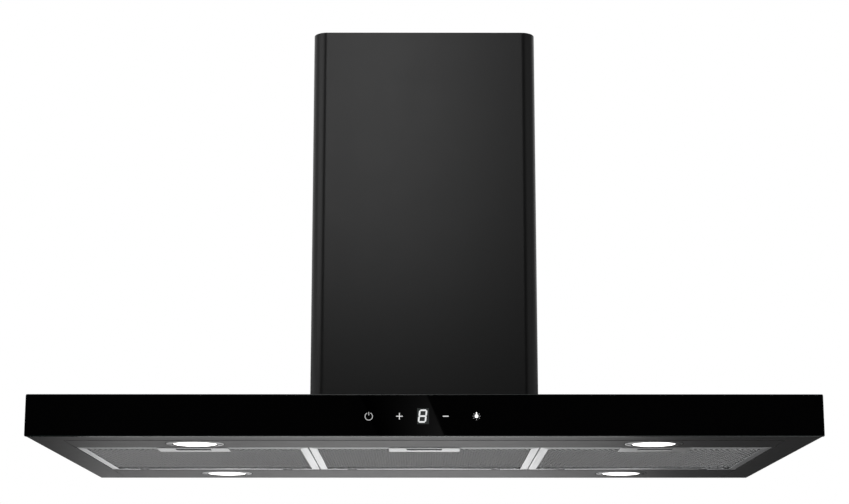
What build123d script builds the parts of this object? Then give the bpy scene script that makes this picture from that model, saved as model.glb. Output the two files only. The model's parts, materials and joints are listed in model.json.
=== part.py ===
from build123d import *
import math
import os

# ---------------------------------------------------------------------------
# Wall-mounted chimney range hood, 900 mm wide.
# Frame: +X right, +Y towards the wall, +Z up, millimetres.
# Origin: on the wall plane, on the centre line, at the level of the underside.
# ---------------------------------------------------------------------------

# driving dimensions --------------------------------------------------------
WIDTH = 900.0            # glass fascia width
DEPTH = 500.0            # wall plane to glass front
GLASS_T = 4.0
GLASS_DROP = 1.0         # glass hangs below the underside
GLASS_TOP = 47.0
TAPE_T = 1.0
SHEET = 1.0
SHELL_W = 899.0
SHELL_H = 46.0
SHELL_FRONT = -(DEPTH - GLASS_T - TAPE_T)      # -495

OPEN_X = 415.0           # underside opening, half width
OPEN_FRONT = -454.0
OPEN_REAR = -12.0
FILTER_FRONT = -379.2
FILTER_PIVOT_Y = -115.2
FILTER_T = 8.0
FILTER_PITCH = 276.4
FILTER_W = 275.6
FRAME_SIDE = 10.0
FRAME_FRONT = 17.0
FRAME_REAR = 13.0

LAMP_X = 268.0
LAMP_FRONT_Y = -416.0
LAMP_REAR_Y = -62.0
LAMP_HOLE_R = 31.0
BEZEL_R = 34.0
LENS_R = 25.5

CH_HALF = 145.0          # lower chimney, half width
CH_DEPTH = 260.0
CH_TOP = 560.0
CH_R = 18.0
UP_HALF = 143.2          # upper chimney, half width
UP_FRONT = -258.2
UP_BACK = -1.5
UP_T = 0.8
UP_BOTTOM = 47.3
UP_TOP = 557.3
UP_R = 16.2

BOX_HALF = 128.0         # blower box
BOX_FRONT = -238.0
BOX_TOP = 301.0
FAN_Y = -132.0           # fan axis
FAN_Z = 158.0
WHEEL_R = 72.0
WHEEL_HALF = 54.0
SCROLL_HALF = 64.0
SCROLL_T = 2.0
INLET_R = 62.0
SHAFT_R = 4.0
DUCT_Y = -85.0           # outlet collar centre
DUCT_R = 75.0
COLLAR_TOP = 349.0
PIN_Z = 323.5
PIN_R = 1.5

WALL_HOLE_R = 4.0
WALL_HOLE_X = 150.0
WALL_HOLE_Z = 23.0
HOOK_SLOT_X = 100.0
HOOK_SLOT_Z = 262.0
HOOK_SLOT_R = 4.5
HOOK_SLOT_L = 20.0

GLAND_X = 105.0
GLAND_Y = -205.0
GLAND_BORE_R = 4.0

os.makedirs("parts", exist_ok=True)


# helpers -------------------------------------------------------------------
def box(x0, x1, y0, y1, z0, z1):
    return Pos((x0 + x1) / 2, (y0 + y1) / 2, (z0 + z1) / 2) * Box(
        abs(x1 - x0), abs(y1 - y0), abs(z1 - z0)
    )


def zcyl(x, y, z0, z1, r):
    return Pos(x, y, (z0 + z1) / 2) * Cylinder(r, z1 - z0)


def xcyl(x0, x1, y, z, r):
    return Pos((x0 + x1) / 2, y, z) * Rot(0, 90, 0) * Cylinder(r, x1 - x0)


def ycyl(x, y0, y1, z, r):
    return Pos(x, (y0 + y1) / 2, z) * Rot(90, 0, 0) * Cylinder(r, y1 - y0)


def yz_face(points):
    """Face in the YZ plane at x = 0 from (y, z) points."""
    return make_face(Polyline([(0, y, z) for y, z in points], close=True))


def spun(points, x, y, z=0.0):
    """Solid of revolution about a vertical axis from (r, z) points."""
    profile = make_face(Polyline([(r, 0, h) for r, h in points], close=True))
    return Pos(x, y, z) * revolve(profile, Axis.Z)


def lead(points, r, bend):
    path = FilletPolyline([Vector(*p) for p in points], radius=bend)
    start = path @ 0
    plane = Plane(origin=start, z_dir=path % 0)
    return sweep(plane * Circle(r), path=path)


def solids_of(shape):
    return list(shape.solids())


def save(name, *shapes):
    parts = []
    for s in shapes:
        parts.extend(solids_of(s))
    shape = parts[0] if len(parts) == 1 else Compound(parts)
    export_step(shape, f"parts/{name}.step")
    print(name, len(parts), round(sum(p.volume for p in parts), 1))


SIDES = (("left", -1), ("centre", 0), ("right", 1))
LAMPS = (
    ("front_left", -LAMP_X, LAMP_FRONT_Y),
    ("front_right", LAMP_X, LAMP_FRONT_Y),
    ("rear_left", -LAMP_X, LAMP_REAR_Y),
    ("rear_right", LAMP_X, LAMP_REAR_Y),
)
RIVETS = (
    [(x, -460.0) for x in (-390, -200, -80, 80, 200, 390)]
    + [(x, -7.5) for x in (-390, -200, -80, 80, 200, 390)]
    + [(s * 421.0, y) for s in (-1, 1) for y in (-430.0, -398.0, -90.0, -35.0)]
)
FLANGE_SCREWS = [(s * 132.0, y) for s in (-1, 1) for y in (-200.0, -40.0)] + [
    (-60.0, -242.0),
    (60.0, -242.0),
]
COLLAR_SCREWS = [(s * 76.0, y) for s in (-1, 1) for y in (-135.0, -35.0)]
CHIMNEY_SCREWS = [(-100.0, -252.0), (100.0, -252.0)]

# canopy shell: folded sheet, open underside with flanges turned inwards -----
W = SHELL_W / 2
shell = box(-W, W, SHELL_FRONT, 0, 0, SHELL_H)
shell -= box(-W + SHEET, W - SHEET, SHELL_FRONT + SHEET, -SHEET, SHEET, SHELL_H - SHEET)
shell -= box(-OPEN_X, OPEN_X, OPEN_FRONT, OPEN_REAR, -1, SHEET + 0.5)
shell -= box(-120, 120, -230, -10, SHELL_H - 2, SHELL_H + 1)
shell -= box(-76, 76, SHELL_FRONT - 1, SHELL_FRONT + 2, 9, 37)
for s in (-1, 1):
    shell -= ycyl(s * WALL_HOLE_X, -3, 2, WALL_HOLE_Z, WALL_HOLE_R)
for x, y in RIVETS:
    shell -= zcyl(x, y, 0.4, 1.2, 1.55)
for x, y in FLANGE_SCREWS + CHIMNEY_SCREWS:
    shell -= zcyl(x, y, SHELL_H - 2, SHELL_H + 1, 2.0)
save("canopy_shell", shell)

# glass fascia and the adhesive strips behind it ------------------------------
glass = box(-WIDTH / 2, WIDTH / 2, -DEPTH, -DEPTH + GLASS_T, -GLASS_DROP, GLASS_TOP)
save("fascia_glass", glass)
t0, t1 = -DEPTH + GLASS_T, SHELL_FRONT
save(
    "fascia_tape",
    box(-444, 444, t0, t1, 38.5, 45),
    box(-444, 444, t0, t1, 1, 7),
    box(-444, -436, t0, t1, 9, 37),
    box(436, 444, t0, t1, 9, 37),
)

# lamp panels ----------------------------------------------------------------
PX = OPEN_X - 0.4
front_panel = box(-PX, PX, OPEN_FRONT + 0.4, -380, 0, SHEET)
front_panel += box(-410, 410, -466, -452.6, SHEET, 2 * SHEET)
for s in (-1, 1):
    front_panel += box(s * 413, s * 428, -450, -386, SHEET, 2 * SHEET)
front_panel += box(-PX, PX, OPEN_FRONT + 0.4, OPEN_FRONT + 3.4, -0.3, 0)  # hemmed front edge
front_panel += box(-PX, PX, -381, -380, 0, 14)
for s in (-1, 1):
    front_panel -= zcyl(s * LAMP_X, LAMP_FRONT_Y, -1, 3, LAMP_HOLE_R)
for _, k in SIDES:
    front_panel -= box(k * FILTER_PITCH - 9, k * FILTER_PITCH + 9, -382, -379, 2.6, 5.6)
rear_panel = box(-PX, PX, -110, OPEN_REAR - 0.4, 0, SHEET)
rear_panel += box(-410, 410, -13.4, -2, SHEET, 2 * SHEET)
for s in (-1, 1):
    rear_panel += box(s * 413, s * 428, -104, -20, SHEET, 2 * SHEET)
rear_panel += box(-PX, PX, -110, -109, 0, 14)
for s in (-1, 1):
    rear_panel -= zcyl(s * LAMP_X, LAMP_REAR_Y, -1, 3, LAMP_HOLE_R)
rivets = []
for x, y in RIVETS:
    hole = zcyl(x, y, 0.9, 2.5, 1.55)
    if y < -200:
        front_panel -= hole
    else:
        rear_panel -= hole
    rivets.append(zcyl(x, y, 0.4, 2.0, 1.5) + zcyl(x, y, 2.0, 2.9, 3.0))
save("front_lamp_panel", front_panel)
save("rear_lamp_panel", rear_panel)
save("panel_rivets", *rivets)

# hooks on the rear panel that carry the filter pins ---------------------------
hooks = []
HOOK_DX = 95.0
HOOK_W = 5.4
for _, k in SIDES:
    for s in (-1, 1):
        x = k * FILTER_PITCH + s * HOOK_DX
        h = xcyl(x - HOOK_W, x + HOOK_W, FILTER_PIVOT_Y, FILTER_T / 2, 3.4)
        h += box(x - HOOK_W, x + HOOK_W, -114.5, -110, 1.6, 5.4)
        h += box(x - HOOK_W, x + HOOK_W, -111, -110, 1.6, 12)
        h -= xcyl(x - 8, x + 8, FILTER_PIVOT_Y, FILTER_T / 2, PIN_R + 0.05)
        h -= box(x - 8, x + 8, FILTER_PIVOT_Y - 1.55, FILTER_PIVOT_Y + 1.55, 4, 9)
        hooks.append(h)
save("filter_hooks", *hooks)

# filter cassettes -------------------------------------------------------------
for name, k in SIDES:
    xc = k * FILTER_PITCH
    hw = FILTER_W / 2
    f = box(xc - hw, xc + hw, FILTER_FRONT, FILTER_PIVOT_Y, 0, FILTER_T)
    f += xcyl(xc - hw, xc + hw, FILTER_PIVOT_Y, FILTER_T / 2, FILTER_T / 2)
    f -= box(xc - hw + 1, xc + hw - 1, FILTER_FRONT + 1, -120.2, 1, FILTER_T - 1)
    wx = hw - FRAME_SIDE
    f -= box(xc - wx, xc + wx, FILTER_FRONT + FRAME_FRONT, -111.2 - FRAME_REAR, -1, FILTER_T + 1)
    f -= box(xc - 38.5, xc + 38.5, FILTER_FRONT + 1.2, -360, -1, FILTER_T + 1)
    f -= box(xc - 9, xc + 9, FILTER_FRONT - 1, FILTER_FRONT + 2, 2.8, 5.4)
    for s in (-1, 1):
        hx = xc + s * HOOK_DX
        f -= box(hx - 6, hx + 6, -119.4, -110, -1, FILTER_T + 1)
    for s in (-1, 1):
        hx = xc + s * HOOK_DX
        f += xcyl(hx - 6.5, hx + 6.5, FILTER_PIVOT_Y, FILTER_T / 2, PIN_R)
    save(f"filter_frame_{name}", f)

    sheets = []
    for z0, z1 in ((1.0, 1.6), (6.4, 7.0)):
        m = box(xc - 136, xc + 136, FILTER_FRONT + 2, -122, z0, z1)
        m -= box(xc - 39.5, xc + 39.5, FILTER_FRONT, -338, z0 - 1, z1 + 1)
        sheets.append(m)
    save(f"filter_mesh_{name}", *sheets)

    # latch: pressed housing, sliding catch and its spring
    plate = box(xc - 42.5, xc + 42.5, -377, -339, -0.8, 0)
    lat = box(xc - 38, xc + 38, -377, -340, 0, 6.6)
    lat -= box(xc - 37, xc + 37, -376, -341, 0, 7)
    lat += plate
    slot = box(xc - 21, xc + 21, -371, -354, -2, 1)
    lat -= fillet(slot.edges().filter_by(Axis.Z), 3)
    lat -= box(xc - 9, xc + 9, -378, -375, 2.6, 5.6)
    save(f"latch_housing_{name}", lat)

    sl = box(xc - 30, xc + 30, -373, -350, 3.4, 5.0)
    sl += box(xc - 15.5, xc + 15.5, -355.6, -354.0, 0.4, 3.4)
    sl += box(xc - 8, xc + 8, -379.7, -373, 3.2, 5.0)
    save(f"latch_slider_{name}", sl)

    turns, wire = 5, 0.25
    helix = Helix(pitch=1.65, height=1.65 * turns, radius=1.7)
    coil = sweep(
        Plane(origin=helix @ 0, z_dir=helix % 0) * Circle(wire), path=helix, is_frenet=True
    )
    coil = Pos(xc, -349.6, 3.9) * Rot(-90, 0, 0) * coil
    save(f"latch_spring_{name}", coil)

# lamps ------------------------------------------------------------------------
housings, boards, clips = [], [], []
for name, x, y in LAMPS:
    save(
        f"lamp_bezel_{name}",
        spun(
            [
                (LENS_R + 1.3, -1.0), (LENS_R + 2.6, -1.0), (BEZEL_R, -0.15), (BEZEL_R, 0),
                (30.8, 0), (30.8, 12), (29.6, 12), (29.6, 0.6), (LENS_R, 0.6),
            ],
            x, y,
        ),
    )
    save(f"lamp_lens_{name}", zcyl(x, y, 0.6, 2.6, 29.5))
    housings.append(
        spun([(31, 12), (31, 27), (0, 27), (0, 25.5), (29.5, 25.5), (29.5, 12)], x, y)
    )
    boards.append(zcyl(x, y, 23.9, 25.5, 29.2))
    for s in (-1, 1):
        pts = [
            (x + s * 30.9, 0, 11), (x + s * 30.9, 0, 2.5), (x + s * 31.6, 0, 2.5),
            (x + s * 31.6, 0, 9.6), (x + s * 43.0, 0, 1.1), (x + s * 44.0, 0, 1.1),
            (x + s * 32.0, 0, 11),
        ]
        prof = make_face(Polyline([(a, y - 5, c) for a, _, c in pts], close=True))
        clips.append(extrude(prof, amount=10, dir=(0, 1, 0)))
save("lamp_housings", *housings)
save("lamp_boards", *boards)
save("lamp_clips", *clips)

# touch controls -----------------------------------------------------------------
board = box(-72, 72, -495.9, -494.3, 10.5, 35.5)
board -= box(-10.2, 6.4, -497, -493, 11.6, 31.4)
save("touch_board", board)
save("display_module", box(-9.8, 6.0, -495.9, -489, 12, 31))
th = box(-80, 80, -494, -480, 5, 41)
th -= box(-77, 77, -495, -482, 8, 38)
save("touch_housing", th)

# control box, under the canopy roof ----------------------------------------------
cb = box(70, 210, -470, -395, 12, 45)
cb -= box(72, 208, -468, -397, 11, 43)
for x in (82, 198):
    for y in (-458, -407):
        cb += zcyl(x, y, 37.6, 43, 3)
save("control_box", cb)
lid = box(70, 210, -470, -395, 10, 12) + box(72.2, 207.8, -467.8, -397.2, 12, 14)
lid -= box(74, 206, -466, -399, 12, 15)
save("control_lid", lid)
save("main_board", box(75, 205, -465, -400, 36, 37.6))
save("capacitor", xcyl(100, 135, -432, 27.9, 8))

# blower box ------------------------------------------------------------------------
bb = box(-BOX_HALF, BOX_HALF, BOX_FRONT, 0, SHELL_H, BOX_TOP)
bb -= box(-BOX_HALF + 1, BOX_HALF - 1, BOX_FRONT + 1, -1, SHELL_H - 1, BOX_TOP - 1)
bb += box(-136.5, -BOX_HALF + 0.5, -230, -10, SHELL_H, SHELL_H + 1)
bb += box(BOX_HALF - 0.5, 136.5, -230, -10, SHELL_H, SHELL_H + 1)
bb += box(-110, 110, -246, BOX_FRONT + 0.5, SHELL_H, SHELL_H + 1)
bb -= box(-60, 60, -144, -26, BOX_TOP - 2, BOX_TOP + 1)
for s in (-1, 1):
    half = HOOK_SLOT_L / 2 - HOOK_SLOT_R
    bb -= box(s * HOOK_SLOT_X - half, s * HOOK_SLOT_X + half, -3, 2,
              HOOK_SLOT_Z - HOOK_SLOT_R, HOOK_SLOT_Z + HOOK_SLOT_R)
    for e in (-1, 1):
        bb -= ycyl(s * HOOK_SLOT_X + e * half, -3, 2, HOOK_SLOT_Z, HOOK_SLOT_R)
bb -= zcyl(GLAND_X, GLAND_Y, BOX_TOP - 3, BOX_TOP + 2, 10.0)
for x, y in FLANGE_SCREWS:
    bb -= zcyl(x, y, SHELL_H - 1, SHELL_H + 3, 2.0)
for x, y in COLLAR_SCREWS:
    bb -= zcyl(x, y, BOX_TOP - 3, BOX_TOP + 1, 2.0)
save("blower_box", bb)

# fan scroll, in two moulded halves ---------------------------------------------------
A0, A1, R0, R1 = 100.0, 360.0, 80.0, 108.0


def spiral_point(a, extra):
    r = R0 + (R1 - R0) * (a - A0) / (A1 - A0) + extra
    return (0, FAN_Y + r * math.cos(math.radians(a)), FAN_Z + r * math.sin(math.radians(a)))


def snail(extra, x0, x1):
    n = 10
    step = (A1 - A0) / n
    edges = []
    for i in range(n):
        a = A0 + i * step
        edges.append(
            ThreePointArc(
                spiral_point(a, extra), spiral_point(a + step / 2, extra), spiral_point(a + step, extra)
            )
        )
    first, last = spiral_point(A0, extra), spiral_point(A1, extra)
    edges.append(Line(last, (0, FAN_Y, FAN_Z)))
    edges.append(Line((0, FAN_Y, FAN_Z), first))
    face = make_face(edges)
    return Pos(x0, 0, 0) * extrude(face, amount=x1 - x0, dir=(1, 0, 0))


tongue = spiral_point(A0, 0)
oy0, oy1 = tongue[1], FAN_Y + R1
outer = snail(SCROLL_T, -SCROLL_HALF, SCROLL_HALF)
outer += box(-SCROLL_HALF, SCROLL_HALF, oy0 - 2, oy1 + 2, FAN_Z, BOX_TOP - 1)
for s in (-1, 1):
    outer += box(s * (SCROLL_HALF - 1), s * 84, oy0 + 4, oy1 - 2, BOX_TOP - 4, BOX_TOP - 1)
    outer += xcyl(min(s * 63, s * 70), max(s * 63, s * 70), FAN_Y, FAN_Z, INLET_R + 2)
inner = snail(0, -SCROLL_HALF + 2, SCROLL_HALF - 2)
inner += box(-SCROLL_HALF + 2, SCROLL_HALF - 2, oy0, oy1, FAN_Z, BOX_TOP + 5)
scroll = outer - inner - xcyl(-75, 75, FAN_Y, FAN_Z, INLET_R)
for x, y in COLLAR_SCREWS:
    scroll -= zcyl(x, y, BOX_TOP - 5, BOX_TOP, 1.8)
save("scroll_left", scroll & box(-200, 0, -400, 50, 0, 400))
save("scroll_right", scroll & box(0, 200, -400, 50, 0, 400))

# impeller: double inlet, forward-curved blades ------------------------------------------
BLADES = 32
wheel = xcyl(-1, 1, FAN_Y, FAN_Z, WHEEL_R)
for s in (-1, 1):
    a, b = sorted((s * (WHEEL_HALF - 2), s * WHEEL_HALF))
    wheel += xcyl(a, b, FAN_Y, FAN_Z, WHEEL_R) - xcyl(a - 1, b + 1, FAN_Y, FAN_Z, 57.5)
blades = []
for i in range(BLADES):
    a = 360.0 / BLADES * i
    pts = []
    for r, da in ((58.0, 0.0), (65.0, 1.2), (71.6, 6.0), (71.6, 7.0), (65.0, 2.2), (58.0, 1.0)):
        t = math.radians(a + da)
        pts.append((FAN_Y + r * math.cos(t), FAN_Z + r * math.sin(t)))
    face = yz_face(pts)
    blades.append(Pos(-WHEEL_HALF + 1, 0, 0) * extrude(face, amount=2 * WHEEL_HALF - 2, dir=(1, 0, 0)))
wheel = wheel + blades
wheel += xcyl(-10, 10, FAN_Y, FAN_Z, 12)
wheel -= xcyl(-12, 12, FAN_Y, FAN_Z, SHAFT_R)
save("impeller", wheel)
save("motor_shaft", xcyl(-104, 10, FAN_Y, FAN_Z, SHAFT_R))

# motor and its bracket on rubber bushes ----------------------------------------------------
motor = xcyl(-98, -20, FAN_Y, FAN_Z, 36)
motor += xcyl(-20, -14, FAN_Y, FAN_Z, 13) + xcyl(-101, -98, FAN_Y, FAN_Z, 13)
motor -= xcyl(-110, -5, FAN_Y, FAN_Z, SHAFT_R + 0.05)
save("motor", motor)
bracket = xcyl(-74, -72, FAN_Y, FAN_Z, 46)
bushes = []
for a in (90, 210, 330):
    t = math.radians(a)
    arm = Pos(-73, FAN_Y, FAN_Z) * Rot(a, 0, 0) * (Pos(0, 55, 0) * Box(2, 50, 14))
    bracket += arm
    by, bz = FAN_Y + 72 * math.cos(t), FAN_Z + 72 * math.sin(t)
    bushes.append(xcyl(-72, -SCROLL_HALF, by, bz, 6) - xcyl(-73, -60, by, bz, 2))
bracket -= xcyl(-80, -60, FAN_Y, FAN_Z, 36)
for a in (90, 210, 330):
    t = math.radians(a)
    bracket -= xcyl(-80, -60, FAN_Y + 72 * math.cos(t), FAN_Z + 72 * math.sin(t), 2)
save("motor_bracket", bracket)
save("motor_bushes", *bushes)

# outlet collar with its two damper flaps --------------------------------------------------
collar = box(-92, 92, -168, -2, BOX_TOP, BOX_TOP + 3)
collar += zcyl(0, DUCT_Y, BOX_TOP, COLLAR_TOP, DUCT_R)
collar -= zcyl(0, DUCT_Y, BOX_TOP - 1, COLLAR_TOP + 1, DUCT_R - 2)
collar += zcyl(0, DUCT_Y, 318, 319.5, DUCT_R - 1) - zcyl(0, DUCT_Y, 317, 321, 69)
for s in (-1, 1):
    a, b = sorted((s * 72, s * 74.2))
    collar -= xcyl(a, b, DUCT_Y, PIN_Z, PIN_R)
for x, y in COLLAR_SCREWS:
    collar -= zcyl(x, y, BOX_TOP - 1, BOX_TOP + 4, 2.0)
save("outlet_collar", collar)
save("flap_pin", xcyl(-74.1, 74.1, DUCT_Y, PIN_Z, PIN_R))
disc = zcyl(0, DUCT_Y, 320, 321, 72.0)
for name, s, spans in (
    ("front", -1, ((-60, -40.5), (0.5, 20))),
    ("rear", 1, ((-20, -0.5), (40.5, 60))),
):
    y0, y1 = sorted((DUCT_Y + s * 0.3, DUCT_Y + s * 80))
    flap = disc & box(-80, 80, y0, y1, 319, 322)
    for x0, x1 in spans:
        a, b = sorted((DUCT_Y + s * 0.3, DUCT_Y + s * 2.4))
        flap += xcyl(x0, x1, DUCT_Y, PIN_Z, 2.4) + box(x0, x1, a, b, 320.5, PIN_Z)
    for x0, x1 in spans:
        flap -= xcyl(x0 - 1, x1 + 1, DUCT_Y, PIN_Z, PIN_R + 0.05)
    save(f"flap_{name}", flap)

# screws ------------------------------------------------------------------------------------
screws = []
for x, y in FLANGE_SCREWS:
    screws.append(zcyl(x, y, 41, 47, 1.9) + zcyl(x, y, 47, 49.2, 3.5))
for x, y in COLLAR_SCREWS:
    screws.append(zcyl(x, y, 293, 304, 1.75) + zcyl(x, y, 304, 306.2, 3.5))
save("blower_screws", *screws)
save(
    "chimney_screws",
    *[zcyl(x, y, 41, 47, 1.9) + zcyl(x, y, 47, 49, 3.2) for x, y in CHIMNEY_SCREWS],
)

# chimney, lower section ----------------------------------------------------------------------
def rounded_u(half, front, back, z0, z1, r):
    b = box(-half, half, front, back, z0, z1)
    return fillet(b.edges().filter_by(Axis.Z).group_by(Axis.Y)[0], r)


low = rounded_u(CH_HALF, -CH_DEPTH, 0, SHELL_H, CH_TOP, CH_R)
low -= rounded_u(CH_HALF - 1, -CH_DEPTH + 1, 5, SHELL_H - 1, CH_TOP + 1, CH_R - 1)
for s in (-1, 1):
    low += box(s * 135, s * (CH_HALF - 0.5), -1, 0, SHELL_H, CH_TOP)
for x, y in CHIMNEY_SCREWS:
    low += box(x - 9, x + 9, -CH_DEPTH + 0.5, -247.5, SHELL_H, SHELL_H + 1)
for x, y in CHIMNEY_SCREWS:
    low -= zcyl(x, y, SHELL_H - 1, SHELL_H + 2, 2.0)
save("chimney_lower", low)

# chimney, upper telescopic section -------------------------------------------------------------
up = rounded_u(UP_HALF, UP_FRONT, UP_BACK, UP_BOTTOM, UP_TOP, UP_R)
up -= rounded_u(UP_HALF - UP_T, UP_FRONT + UP_T, 5, UP_BOTTOM - 1, UP_TOP + 1, UP_R - UP_T)
for s in (-1, 1):
    up += box(s * 134, s * (UP_HALF - 0.4), UP_BACK - UP_T, UP_BACK, UP_BOTTOM, UP_TOP)
for i in range(9):
    y = -215 + 20 * i
    up -= box(-150, 150, y - 2.5, y + 2.5, 484, 520)
up -= xcyl(-150, 150, -28, 540.5, 2.0)
save("chimney_upper", up)

BZ0, BZ1 = 528.0, 553.0
br = box(-132, 132, -1, 0, BZ0, BZ1)
for s in (-1, 1):
    br += box(s * 131, s * 132, -13, 0, BZ0, BZ1)
    br += box(s * 131, s * 142.2, -13, -12, BZ0, BZ1)
    br += box(s * 141.2, s * 142.2, -40, -12, BZ0, BZ1)
for s in (-1, 1):
    br -= ycyl(s * 100, -3, 2, 540.5, 2.5)
br -= xcyl(-150, 150, -28, 540.5, 2.0)
save("chimney_bracket", br)
bs = []
for s in (-1, 1):
    a, b = sorted((s * 141.2, s * 143.1))
    c, d = sorted((s * 139.2, s * 141.2))
    bs.append(xcyl(a, b, -28, 540.5, 1.9) + xcyl(c, d, -28, 540.5, 3.2))
save("bracket_screws", *bs)

# cable gland and the internal leads ----------------------------------------------------------------
gland = spun(
    [
        (GLAND_BORE_R, 296), (9.9, 296), (9.9, 301), (13, 301), (13, 306), (9.5, 306),
        (6.8, 322), (GLAND_BORE_R, 322),
    ],
    GLAND_X, GLAND_Y,
)
save("cable_gland", gland)
leads = [
    box(96, 114, -236.9, -215, 250, 274),
    lead([(105, -222, 250), (105, -222, 38), (105, -395, 38)], 3.0, 9),
    lead([(-98, -108, 158), (-117, -108, 158), (-117, -108, 38), (-117, -430, 38), (70, -430, 38)], 2.2, 7),
    lead([(210, -425, 32), (268, -425, 32), (268, -425, 27)], 1.4, 3.5),
    lead([(70, -412, 31.5), (-268, -412, 31.5), (-268, -412, 27)], 1.4, 3.5),
    lead([(200, -395, 31.5), (200, -62, 31.5), (268, -62, 31.5), (268, -62, 27)], 1.4, 3.5),
    lead([(180, -395, 31.5), (180, -250, 31.5), (-200, -250, 31.5), (-200, -62, 31.5), (-268, -62, 31.5), (-268, -62, 27)], 1.4, 3.5),
    lead([(60, -480, 25), (60, -455, 25), (70, -455, 25)], 1.4, 4),
]
save("wiring_harness", *leads)
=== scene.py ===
import json
import math

import bpy
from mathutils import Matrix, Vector


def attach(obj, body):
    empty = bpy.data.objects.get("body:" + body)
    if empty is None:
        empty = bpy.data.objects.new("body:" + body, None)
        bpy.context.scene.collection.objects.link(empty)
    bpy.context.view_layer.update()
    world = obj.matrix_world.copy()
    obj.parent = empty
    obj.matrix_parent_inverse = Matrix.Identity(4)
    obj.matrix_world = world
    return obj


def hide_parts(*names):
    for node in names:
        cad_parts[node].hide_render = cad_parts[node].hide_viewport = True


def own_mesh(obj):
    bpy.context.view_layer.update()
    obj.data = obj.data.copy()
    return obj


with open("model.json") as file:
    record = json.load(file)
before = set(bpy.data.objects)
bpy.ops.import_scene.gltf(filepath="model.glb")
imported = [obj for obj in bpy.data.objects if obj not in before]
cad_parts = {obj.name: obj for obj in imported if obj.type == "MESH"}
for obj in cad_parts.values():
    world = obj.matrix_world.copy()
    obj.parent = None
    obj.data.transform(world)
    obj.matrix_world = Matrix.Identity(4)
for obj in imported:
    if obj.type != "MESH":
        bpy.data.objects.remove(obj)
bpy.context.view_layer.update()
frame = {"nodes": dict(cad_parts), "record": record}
nodes = frame["nodes"]
scene = bpy.context.scene
MM = 0.001

# ---------------------------------------------------------------------------
# sizes shared with the CAD model, in millimetres
# ---------------------------------------------------------------------------
SIDES = (("left", -1), ("centre", 0), ("right", 1))
LAMPS = (
    ("front_left", -268.0, -416.0),
    ("front_right", 268.0, -416.0),
    ("rear_left", -268.0, -62.0),
    ("rear_right", 268.0, -62.0),
)
PITCH = 276.4
HALF_W = 137.8
F_FRONT = -379.2
F_REAR = -111.2
PIVOT_Y = -115.2
W_SIDE, W_FRONT, W_REAR = 10.0, 17.0, 13.0
HOOK_DX = 95.0


# ---------------------------------------------------------------------------
# material helpers
# ---------------------------------------------------------------------------
def begin(name):
    m = bpy.data.materials.new(name)
    m.use_nodes = True
    nt = m.node_tree
    return m, nt, nt.nodes["Principled BSDF"]


def coords(nt, scale=(1.0, 1.0, 1.0)):
    tc = nt.nodes.new("ShaderNodeTexCoord")
    mp = nt.nodes.new("ShaderNodeMapping")
    mp.inputs["Scale"].default_value = scale
    nt.links.new(tc.outputs["Object"], mp.inputs["Vector"])
    return mp.outputs["Vector"]


def noise(nt, vec, scale, detail=3.0, rough=0.55, distortion=0.0):
    n = nt.nodes.new("ShaderNodeTexNoise")
    n.inputs["Scale"].default_value = scale
    n.inputs["Detail"].default_value = detail
    n.inputs["Roughness"].default_value = rough
    n.inputs["Distortion"].default_value = distortion
    nt.links.new(vec, n.inputs["Vector"])
    return n.outputs["Fac"]


def cells(nt, vec, scale, feature="F1", output="Distance"):
    n = nt.nodes.new("ShaderNodeTexVoronoi")
    n.feature = feature
    n.inputs["Scale"].default_value = scale
    nt.links.new(vec, n.inputs["Vector"])
    return n.outputs[output]


def ramp(nt, fac, stops):
    n = nt.nodes.new("ShaderNodeValToRGB")
    e = n.color_ramp.elements
    while len(e) < len(stops):
        e.new(0.5)
    for el, (pos, col) in zip(e, stops):
        el.position = pos
        el.color = (*col, 1.0)
    nt.links.new(fac, n.inputs["Fac"])
    return n.outputs["Color"]


def remap(nt, fac, lo, hi, a=0.3, b=0.7):
    n = nt.nodes.new("ShaderNodeMapRange")
    n.inputs["From Min"].default_value = a
    n.inputs["From Max"].default_value = b
    n.inputs["To Min"].default_value = lo
    n.inputs["To Max"].default_value = hi
    nt.links.new(fac, n.inputs["Value"])
    return n.outputs["Result"]


def bump(nt, height, strength, distance, below=None):
    n = nt.nodes.new("ShaderNodeBump")
    n.inputs["Strength"].default_value = strength
    n.inputs["Distance"].default_value = distance
    nt.links.new(height, n.inputs["Height"])
    if below is not None:
        nt.links.new(below, n.inputs["Normal"])
    return n.outputs["Normal"]


def grey(v, warm=0.0):
    return (v * (1 + warm), v, v * (1 - warm))


def surface(
    name,
    low,
    high,
    rough,
    metal=0.0,
    scale=40.0,
    stretch=(1.0, 1.0, 1.0),
    fine=900.0,
    depth=0.00004,
    strength=0.15,
    ior=1.5,
    detail=3.0,
):
    """Colour from one noise, roughness from a second and fine relief from a third."""
    m, nt, p = begin(name)
    vec = coords(nt, stretch)
    nt.links.new(
        ramp(nt, noise(nt, vec, scale, detail), [(0.3, low), (0.7, high)]),
        p.inputs["Base Color"],
    )
    nt.links.new(
        remap(nt, noise(nt, vec, scale * 2.3, 4.0), rough[0], rough[1]),
        p.inputs["Roughness"],
    )
    nt.links.new(
        bump(nt, noise(nt, vec, fine, 2.0), strength, depth), p.inputs["Normal"]
    )
    p.inputs["Metallic"].default_value = metal
    p.inputs["IOR"].default_value = ior
    return m


# ---------------------------------------------------------------------------
# materials
# ---------------------------------------------------------------------------
mats = {}

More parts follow.
